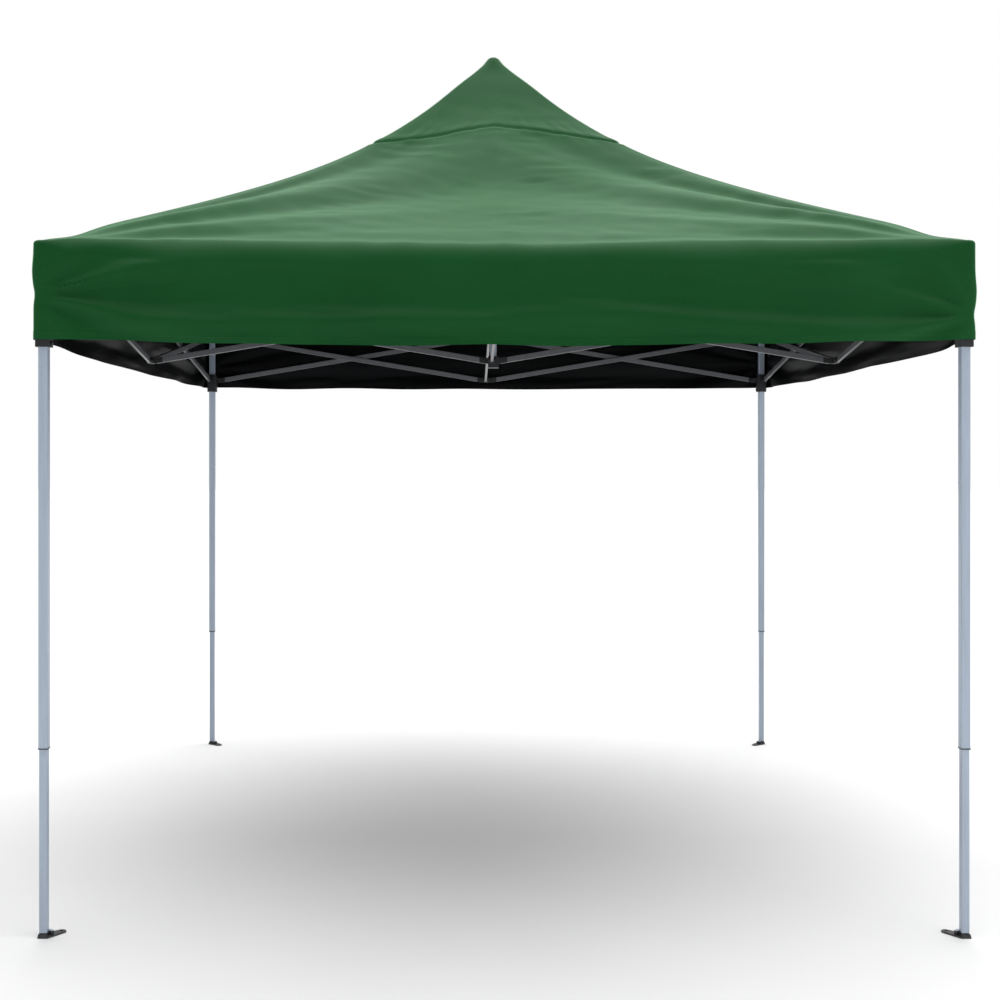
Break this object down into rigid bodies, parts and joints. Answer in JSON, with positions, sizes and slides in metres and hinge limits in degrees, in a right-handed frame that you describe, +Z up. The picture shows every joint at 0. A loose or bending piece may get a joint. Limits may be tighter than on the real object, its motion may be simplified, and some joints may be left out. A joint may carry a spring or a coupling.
{
  "type": "pop up canopy",
  "caption": "Square shelter with a peaked fabric cover on a folding scissor truss, four telescopic legs with latching sliders, and flat feet with stake holes.",
  "frame": {"origin": "on the ground, midway between the four feet", "axes": "+Z up to the peak, -Y towards the front, +X to the right as seen from the front"},
  "size_m": [3, 3, 3.24],
  "materials": {
    "frame_steel": "satin grey powder coat",
    "black_plastic": "moulded black nylon",
    "cover_fabric": "coated woven polyester"
  },
  "bodies": {
    "root": {"upper_hub": "black_plastic", "canopy_cover": "cover_fabric"},
    "lower_hub": {"lower_hub": "black_plastic"},
    "centre_pole": {"centre_pole": "frame_steel"},
    "front_hub_high_bar": {"front_hub_high_bar": "frame_steel"},
    "front_hub_low_bar": {"front_hub_low_bar": "frame_steel"},
    "front_upper_connector": {"front_upper_connector": "black_plastic"},
    "front_lower_connector": {"front_lower_connector": "black_plastic"},
    "front_left_top_bar": {"front_left_top_bar": "frame_steel"},
    "front_left_slider_bar": {"front_left_slider_bar": "frame_steel"},
    "front_right_top_bar": {"front_right_top_bar": "frame_steel"},
    "front_right_slider_bar": {"front_right_slider_bar": "frame_steel"},
    "right_hub_high_bar": {"right_hub_high_bar": "frame_steel"},
    "right_hub_low_bar": {"right_hub_low_bar": "frame_steel"},
    "right_upper_connector": {"right_upper_connector": "black_plastic"},
    "right_lower_connector": {"right_lower_connector": "black_plastic"},
    "right_front_top_bar": {"right_front_top_bar": "frame_steel"},
    "right_front_slider_bar": {"right_front_slider_bar": "frame_steel"},
    "right_back_top_bar": {"right_back_top_bar": "frame_steel"},
    "right_back_slider_bar": {"right_back_slider_bar": "frame_steel"},
    "back_hub_high_bar": {"back_hub_high_bar": "frame_steel"},
    "back_hub_low_bar": {"back_hub_low_bar": "frame_steel"},
    "back_upper_connector": {"back_upper_connector": "black_plastic"},
    "back_lower_connector": {"back_lower_connector": "black_plastic"},
    "back_right_top_bar": {"back_right_top_bar": "frame_steel"},
    "back_right_slider_bar": {"back_right_slider_bar": "frame_steel"},
    "back_left_top_bar": {"back_left_top_bar": "frame_steel"},
    "back_left_slider_bar": {"back_left_slider_bar": "frame_steel"},
    "left_hub_high_bar": {"left_hub_high_bar": "frame_steel"},
    "left_hub_low_bar": {"left_hub_low_bar": "frame_steel"},
    "left_upper_connector": {"left_upper_connector": "black_plastic"},
    "left_lower_connector": {"left_lower_connector": "black_plastic"},
    "left_back_top_bar": {"left_back_top_bar": "frame_steel"},
    "left_back_slider_bar": {"left_back_slider_bar": "frame_steel"},
    "left_front_top_bar": {"left_front_top_bar": "frame_steel"},
    "left_front_slider_bar": {"left_front_slider_bar": "frame_steel"},
    "front_left_leg": {"front_left_outer_leg": "frame_steel", "front_left_top_bracket": "black_plastic"},
    "front_left_slider": {"front_left_slider": "black_plastic"},
    "front_left_slider_latch": {"front_left_slider_latch": "black_plastic"},
    "front_left_inner_leg": {"front_left_inner_leg": "frame_steel"},
    "front_left_snap_button": {"front_left_snap_button": "frame_steel"},
    "front_right_leg": {"front_right_outer_leg": "frame_steel", "front_right_top_bracket": "black_plastic"},
    "front_right_slider": {"front_right_slider": "black_plastic"},
    "front_right_slider_latch": {"front_right_slider_latch": "black_plastic"},
    "front_right_inner_leg": {"front_right_inner_leg": "frame_steel"},
    "front_right_snap_button": {"front_right_snap_button": "frame_steel"},
    "back_right_leg": {"back_right_outer_leg": "frame_steel", "back_right_top_bracket": "black_plastic"},
    "back_right_slider": {"back_right_slider": "black_plastic"},
    "back_right_slider_latch": {"back_right_slider_latch": "black_plastic"},
    "back_right_inner_leg": {"back_right_inner_leg": "frame_steel"},
    "back_right_snap_button": {"back_right_snap_button": "frame_steel"},
    "back_left_leg": {"back_left_outer_leg": "frame_steel", "back_left_top_bracket": "black_plastic"},
    "back_left_slider": {"back_left_slider": "black_plastic"},
    "back_left_slider_latch": {"back_left_slider_latch": "black_plastic"},
    "back_left_inner_leg": {"back_left_inner_leg": "frame_steel"},
    "back_left_snap_button": {"back_left_snap_button": "frame_steel"}
  },
  "joints": [
    {"name": "fold", "type": "hinge", "parent": "root", "child": "front_hub_high_bar", "pos_m": [0.007, -0.0376, 2.176], "axis": [1, 0, 0], "range_deg": [0, 78]},
    {"name": "right_high_bar_fold", "type": "hinge", "parent": "root", "child": "right_hub_high_bar", "pos_m": [0.0376, 0.007, 2.176], "axis": [0, 1, 0], "range_deg": [0, 78]},
    {"name": "back_high_bar_fold", "type": "hinge", "parent": "root", "child": "back_hub_high_bar", "pos_m": [-0.007, 0.0376, 2.176], "axis": [-1, 0, 0], "range_deg": [0, 78]},
    {"name": "left_high_bar_fold", "type": "hinge", "parent": "root", "child": "left_hub_high_bar", "pos_m": [-0.0376, -0.007, 2.176], "axis": [0, -1, 0], "range_deg": [0, 78]},
    {"name": "front_lower_connector_hinge", "type": "hinge", "parent": "front_hub_high_bar", "child": "front_lower_connector", "pos_m": [0.007, -1.4336, 1.946], "axis": [-1, 0, 0], "range_deg": [0, 78]},
    {"name": "front_low_bar_hinge", "type": "hinge", "parent": "front_hub_high_bar", "child": "front_hub_low_bar", "pos_m": [0, -0.7356, 2.061], "axis": [-1, 0, 0], "range_deg": [0, 156]},
    {"name": "front_upper_connector_hinge", "type": "hinge", "parent": "front_hub_low_bar", "child": "front_upper_connector", "pos_m": [-0.007, -1.4336, 2.176], "axis": [1, 0, 0], "range_deg": [0, 78]},
    {"name": "front_left_top_bar_hinge", "type": "hinge", "parent": "front_lower_connector", "child": "front_left_top_bar", "pos_m": [-0.029, -1.463, 1.946], "axis": [0, 1, 0], "range_deg": [0, 78]},
    {"name": "front_left_slider_bar_hinge", "type": "hinge", "parent": "front_left_top_bar", "child": "front_left_slider_bar", "pos_m": [-0.727, -1.47, 2.061], "axis": [0, -1, 0], "range_deg": [0, 156]},
    {"name": "front_left_leg_hinge", "type": "hinge", "parent": "front_left_top_bar", "child": "front_left_leg", "pos_m": [-1.425, -1.463, 2.176], "axis": [0, -1, 0], "range_deg": [0, 78]},
    {"name": "front_left_slider_hinge", "type": "hinge", "parent": "front_left_slider_bar", "child": "front_left_slider", "pos_m": [-1.425, -1.477, 1.946], "axis": [0, 1, 0], "range_deg": [0, 78]},
    {"name": "front_right_top_bar_hinge", "type": "hinge", "parent": "front_lower_connector", "child": "front_right_top_bar", "pos_m": [0.029, -1.463, 1.946], "axis": [0, -1, 0], "range_deg": [0, 78]},
    {"name": "front_right_slider_bar_hinge", "type": "hinge", "parent": "front_right_top_bar", "child": "front_right_slider_bar", "pos_m": [0.727, -1.47, 2.061], "axis": [0, 1, 0], "range_deg": [0, 156]},
    {"name": "front_right_leg_hinge", "type": "hinge", "parent": "front_right_top_bar", "child": "front_right_leg", "pos_m": [1.425, -1.463, 2.176], "axis": [0, 1, 0], "range_deg": [0, 78]},
    {"name": "front_right_slider_hinge", "type": "hinge", "parent": "front_right_slider_bar", "child": "front_right_slider", "pos_m": [1.425, -1.477, 1.946], "axis": [0, -1, 0], "range_deg": [0, 78]},
    {"name": "right_lower_connector_hinge", "type": "hinge", "parent": "right_hub_high_bar", "child": "right_lower_connector", "pos_m": [1.4336, 0.007, 1.946], "axis": [0, -1, 0], "range_deg": [0, 78]},
    {"name": "right_low_bar_hinge", "type": "hinge", "parent": "right_hub_high_bar", "child": "right_hub_low_bar", "pos_m": [0.7356, 0, 2.061], "axis": [0, -1, 0], "range_deg": [0, 156]},
    {"name": "right_upper_connector_hinge", "type": "hinge", "parent": "right_hub_low_bar", "child": "right_upper_connector", "pos_m": [1.4336, -0.007, 2.176], "axis": [0, 1, 0], "range_deg": [0, 78]},
    {"name": "right_front_top_bar_hinge", "type": "hinge", "parent": "right_lower_connector", "child": "right_front_top_bar", "pos_m": [1.463, -0.029, 1.946], "axis": [-1, 0, 0], "range_deg": [0, 78]},
    {"name": "right_front_slider_bar_hinge", "type": "hinge", "parent": "right_front_top_bar", "child": "right_front_slider_bar", "pos_m": [1.47, -0.727, 2.061], "axis": [1, 0, 0], "range_deg": [0, 156]},
    {"name": "right_back_top_bar_hinge", "type": "hinge", "parent": "right_lower_connector", "child": "right_back_top_bar", "pos_m": [1.463, 0.029, 1.946], "axis": [1, 0, 0], "range_deg": [0, 78]},
    {"name": "right_back_slider_bar_hinge", "type": "hinge", "parent": "right_back_top_bar", "child": "right_back_slider_bar", "pos_m": [1.47, 0.727, 2.061], "axis": [-1, 0, 0], "range_deg": [0, 156]},
    {"name": "back_lower_connector_hinge", "type": "hinge", "parent": "back_hub_high_bar", "child": "back_lower_connector", "pos_m": [-0.007, 1.4336, 1.946], "axis": [1, 0, 0], "range_deg": [0, 78]},
    {"name": "back_low_bar_hinge", "type": "hinge", "parent": "back_hub_high_bar", "child": "back_hub_low_bar", "pos_m": [0, 0.7356, 2.061], "axis": [1, 0, 0], "range_deg": [0, 156]},
    {"name": "back_upper_connector_hinge", "type": "hinge", "parent": "back_hub_low_bar", "child": "back_upper_connector", "pos_m": [0.007, 1.4336, 2.176], "axis": [-1, 0, 0], "range_deg": [0, 78]},
    {"name": "back_right_top_bar_hinge", "type": "hinge", "parent": "back_lower_connector", "child": "back_right_top_bar", "pos_m": [0.029, 1.463, 1.946], "axis": [0, -1, 0], "range_deg": [0, 78]},
    {"name": "back_right_slider_bar_hinge", "type": "hinge", "parent": "back_right_top_bar", "child": "back_right_slider_bar", "pos_m": [0.727, 1.47, 2.061], "axis": [0, 1, 0], "range_deg": [0, 156]},
    {"name": "back_right_leg_hinge", "type": "hinge", "parent": "back_right_top_bar", "child": "back_right_leg", "pos_m": [1.425, 1.463, 2.176], "axis": [0, 1, 0], "range_deg": [0, 78]},
    {"name": "back_right_slider_hinge", "type": "hinge", "parent": "back_right_slider_bar", "child": "back_right_slider", "pos_m": [1.425, 1.477, 1.946], "axis": [0, -1, 0], "range_deg": [0, 78]},
    {"name": "back_left_top_bar_hinge", "type": "hinge", "parent": "back_lower_connector", "child": "back_left_top_bar", "pos_m": [-0.029, 1.463, 1.946], "axis": [0, 1, 0], "range_deg": [0, 78]},
    {"name": "back_left_slider_bar_hinge", "type": "hinge", "parent": "back_left_top_bar", "child": "back_left_slider_bar", "pos_m": [-0.727, 1.47, 2.061], "axis": [0, -1, 0], "range_deg": [0, 156]},
    {"name": "back_left_leg_hinge", "type": "hinge", "parent": "back_left_top_bar", "child": "back_left_leg", "pos_m": [-1.425, 1.463, 2.176], "axis": [0, -1, 0], "range_deg": [0, 78]},
    {"name": "back_left_slider_hinge", "type": "hinge", "parent": "back_left_slider_bar", "child": "back_left_slider", "pos_m": [-1.425, 1.477, 1.946], "axis": [0, 1, 0], "range_deg": [0, 78]},
    {"name": "left_lower_connector_hinge", "type": "hinge", "parent": "left_hub_high_bar", "child": "left_lower_connector", "pos_m": [-1.4336, -0.007, 1.946], "axis": [0, 1, 0], "range_deg": [0, 78]},
    {"name": "left_low_bar_hinge", "type": "hinge", "parent": "left_hub_high_bar", "child": "left_hub_low_bar", "pos_m": [-0.7356, 0, 2.061], "axis": [0, 1, 0], "range_deg": [0, 156]},
    {"name": "left_upper_connector_hinge", "type": "hinge", "parent": "left_hub_low_bar", "child": "left_upper_connector", "pos_m": [-1.4336, 0.007, 2.176], "axis": [0, -1, 0], "range_deg": [0, 78]},
    {"name": "left_back_top_bar_hinge", "type": "hinge", "parent": "left_lower_connector", "child": "left_back_top_bar", "pos_m": [-1.463, 0.029, 1.946], "axis": [1, 0, 0], "range_deg": [0, 78]},
    {"name": "left_back_slider_bar_hinge", "type": "hinge", "parent": "left_back_top_bar", "child": "left_back_slider_bar", "pos_m": [-1.47, 0.727, 2.061], "axis": [-1, 0, 0], "range_deg": [0, 156]},
    {"name": "left_front_top_bar_hinge", "type": "hinge", "parent": "left_lower_connector", "child": "left_front_top_bar", "pos_m": [-1.463, -0.029, 1.946], "axis": [-1, 0, 0], "range_deg": [0, 78]},
    {"name": "left_front_slider_bar_hinge", "type": "hinge", "parent": "left_front_top_bar", "child": "left_front_slider_bar", "pos_m": [-1.47, -0.727, 2.061], "axis": [1, 0, 0], "range_deg": [0, 156]},
    {"name": "lower_hub_hinge", "type": "hinge", "parent": "front_hub_low_bar", "child": "lower_hub", "pos_m": [-0.007, -0.0376, 1.946], "axis": [1, 0, 0], "range_deg": [0, 78]},
    {"name": "centre_pole_slide", "type": "slide", "parent": "root", "child": "centre_pole", "axis": [0, 0, -1], "range_m": [0, 0.83]},
    {"name": "front_left_leg_height", "type": "slide", "parent": "front_left_leg", "child": "front_left_inner_leg", "axis": [0, 0, -1], "range_m": [0, 0.57]},
    {"name": "front_left_button_press", "type": "slide", "parent": "front_left_inner_leg", "child": "front_left_snap_button", "axis": [0, 1, 0], "range_m": [0, 0.004], "stiffness_N_per_m": 800},
    {"name": "front_left_latch_pull", "type": "slide", "parent": "front_left_slider", "child": "front_left_slider_latch", "axis": [1, 0, 0], "range_m": [0, 0.006], "stiffness_N_per_m": 800},
    {"name": "front_right_leg_height", "type": "slide", "parent": "front_right_leg", "child": "front_right_inner_leg", "axis": [0, 0, -1], "range_m": [0, 0.57]},
    {"name": "front_right_button_press", "type": "slide", "parent": "front_right_inner_leg", "child": "front_right_snap_button", "axis": [-1, 0, 0], "range_m": [0, 0.004], "stiffness_N_per_m": 800},
    {"name": "front_right_latch_pull", "type": "slide", "parent": "front_right_slider", "child": "front_right_slider_latch", "axis": [0, 1, 0], "range_m": [0, 0.006], "stiffness_N_per_m": 800},
    {"name": "back_right_leg_height", "type": "slide", "parent": "back_right_leg", "child": "back_right_inner_leg", "axis": [0, 0, -1], "range_m": [0, 0.57]},
    {"name": "back_right_button_press", "type": "slide", "parent": "back_right_inner_leg", "child": "back_right_snap_button", "axis": [0, -1, 0], "range_m": [0, 0.004], "stiffness_N_per_m": 800},
    {"name": "back_right_latch_pull", "type": "slide", "parent": "back_right_slider", "child": "back_right_slider_latch", "axis": [-1, 0, 0], "range_m": [0, 0.006], "stiffness_N_per_m": 800},
    {"name": "back_left_leg_height", "type": "slide", "parent": "back_left_leg", "child": "back_left_inner_leg", "axis": [0, 0, -1], "range_m": [0, 0.57]},
    {"name": "back_left_button_press", "type": "slide", "parent": "back_left_inner_leg", "child": "back_left_snap_button", "axis": [1, 0, 0], "range_m": [0, 0.004], "stiffness_N_per_m": 800},
    {"name": "back_left_latch_pull", "type": "slide", "parent": "back_left_slider", "child": "back_left_slider_latch", "axis": [0, -1, 0], "range_m": [0, 0.006], "stiffness_N_per_m": 800}
  ],
  "couplings": [
    {"joint": "right_high_bar_fold", "follows": "fold", "ratio": 1},
    {"joint": "back_high_bar_fold", "follows": "fold", "ratio": 1},
    {"joint": "left_high_bar_fold", "follows": "fold", "ratio": 1},
    {"joint": "front_lower_connector_hinge", "follows": "fold", "ratio": 1},
    {"joint": "front_low_bar_hinge", "follows": "fold", "ratio": 2},
    {"joint": "front_upper_connector_hinge", "follows": "fold", "ratio": 1},
    {"joint": "front_left_top_bar_hinge", "follows": "fold", "ratio": 1},
    {"joint": "front_left_slider_bar_hinge", "follows": "fold", "ratio": 2},
    {"joint": "front_left_leg_hinge", "follows": "fold", "ratio": 1},
    {"joint": "front_left_slider_hinge", "follows": "fold", "ratio": 1},
    {"joint": "front_right_top_bar_hinge", "follows": "fold", "ratio": 1},
    {"joint": "front_right_slider_bar_hinge", "follows": "fold", "ratio": 2},
    {"joint": "front_right_leg_hinge", "follows": "fold", "ratio": 1},
    {"joint": "front_right_slider_hinge", "follows": "fold", "ratio": 1},
    {"joint": "right_lower_connector_hinge", "follows": "fold", "ratio": 1},
    {"joint": "right_low_bar_hinge", "follows": "fold", "ratio": 2},
    {"joint": "right_upper_connector_hinge", "follows": "fold", "ratio": 1},
    {"joint": "right_front_top_bar_hinge", "follows": "fold", "ratio": 1},
    {"joint": "right_front_slider_bar_hinge", "follows": "fold", "ratio": 2},
    {"joint": "right_back_top_bar_hinge", "follows": "fold", "ratio": 1},
    {"joint": "right_back_slider_bar_hinge", "follows": "fold", "ratio": 2},
    {"joint": "back_lower_connector_hinge", "follows": "fold", "ratio": 1},
    {"joint": "back_low_bar_hinge", "follows": "fold", "ratio": 2},
    {"joint": "back_upper_connector_hinge", "follows": "fold", "ratio": 1},
    {"joint": "back_right_top_bar_hinge", "follows": "fold", "ratio": 1},
    {"joint": "back_right_slider_bar_hinge", "follows": "fold", "ratio": 2},
    {"joint": "back_right_leg_hinge", "follows": "fold", "ratio": 1},
    {"joint": "back_right_slider_hinge", "follows": "fold", "ratio": 1},
    {"joint": "back_left_top_bar_hinge", "follows": "fold", "ratio": 1},
    {"joint": "back_left_slider_bar_hinge", "follows": "fold", "ratio": 2},
    {"joint": "back_left_leg_hinge", "follows": "fold", "ratio": 1},
    {"joint": "back_left_slider_hinge", "follows": "fold", "ratio": 1},
    {"joint": "left_lower_connector_hinge", "follows": "fold", "ratio": 1},
    {"joint": "left_low_bar_hinge", "follows": "fold", "ratio": 2},
    {"joint": "left_upper_connector_hinge", "follows": "fold", "ratio": 1},
    {"joint": "left_back_top_bar_hinge", "follows": "fold", "ratio": 1},
    {"joint": "left_back_slider_bar_hinge", "follows": "fold", "ratio": 2},
    {"joint": "left_front_top_bar_hinge", "follows": "fold", "ratio": 1},
    {"joint": "left_front_slider_bar_hinge", "follows": "fold", "ratio": 2},
    {"joint": "lower_hub_hinge", "follows": "fold", "ratio": 1},
    {"joint": "centre_pole_slide", "follows": "fold", "m_per_rad": 0.6}
  ]
}
